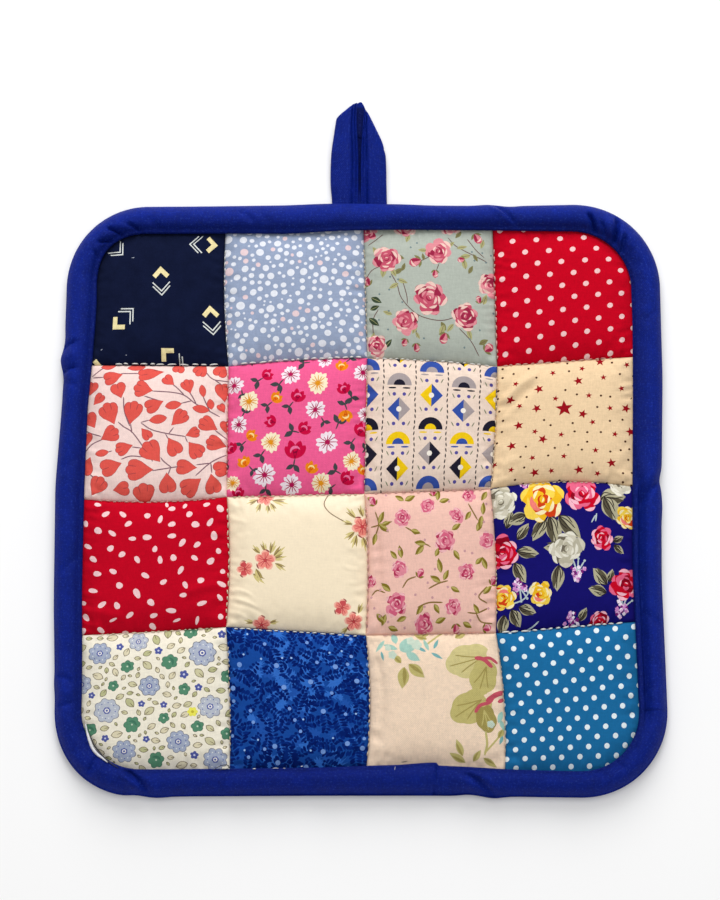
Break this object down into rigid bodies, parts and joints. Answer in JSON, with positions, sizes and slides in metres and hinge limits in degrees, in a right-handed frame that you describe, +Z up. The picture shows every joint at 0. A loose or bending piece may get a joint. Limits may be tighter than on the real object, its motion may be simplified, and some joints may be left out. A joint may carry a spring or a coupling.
{
  "type": "quilted patchwork pot holder",
  "caption": "Square quilted pot holder with a printed patchwork face, rounded corners, a padded cotton binding round its edge and a folded hanging loop at its top.",
  "frame": {"origin": "on the surface that the pot holder lies on, under the middle of its whole outline, loop included", "axes": "+Z up from the surface through the face, +Y from the bottom edge to the tip of the loop, +X to the right with the face seen from above"},
  "size_m": [0.2098, 0.2449, 0.0079],
  "materials": {
    "patchwork": "printed plain-weave cotton squares in red, pink, cream and blue, quilted, matt",
    "blue_cotton": "royal-blue plain cotton with a slight sheen, softly puckered"
  },
  "bodies": {
    "root": {"quilted_pad": "patchwork", "edge_binding": "blue_cotton", "hanging_loop": "blue_cotton"}
  },
  "joints": []
}
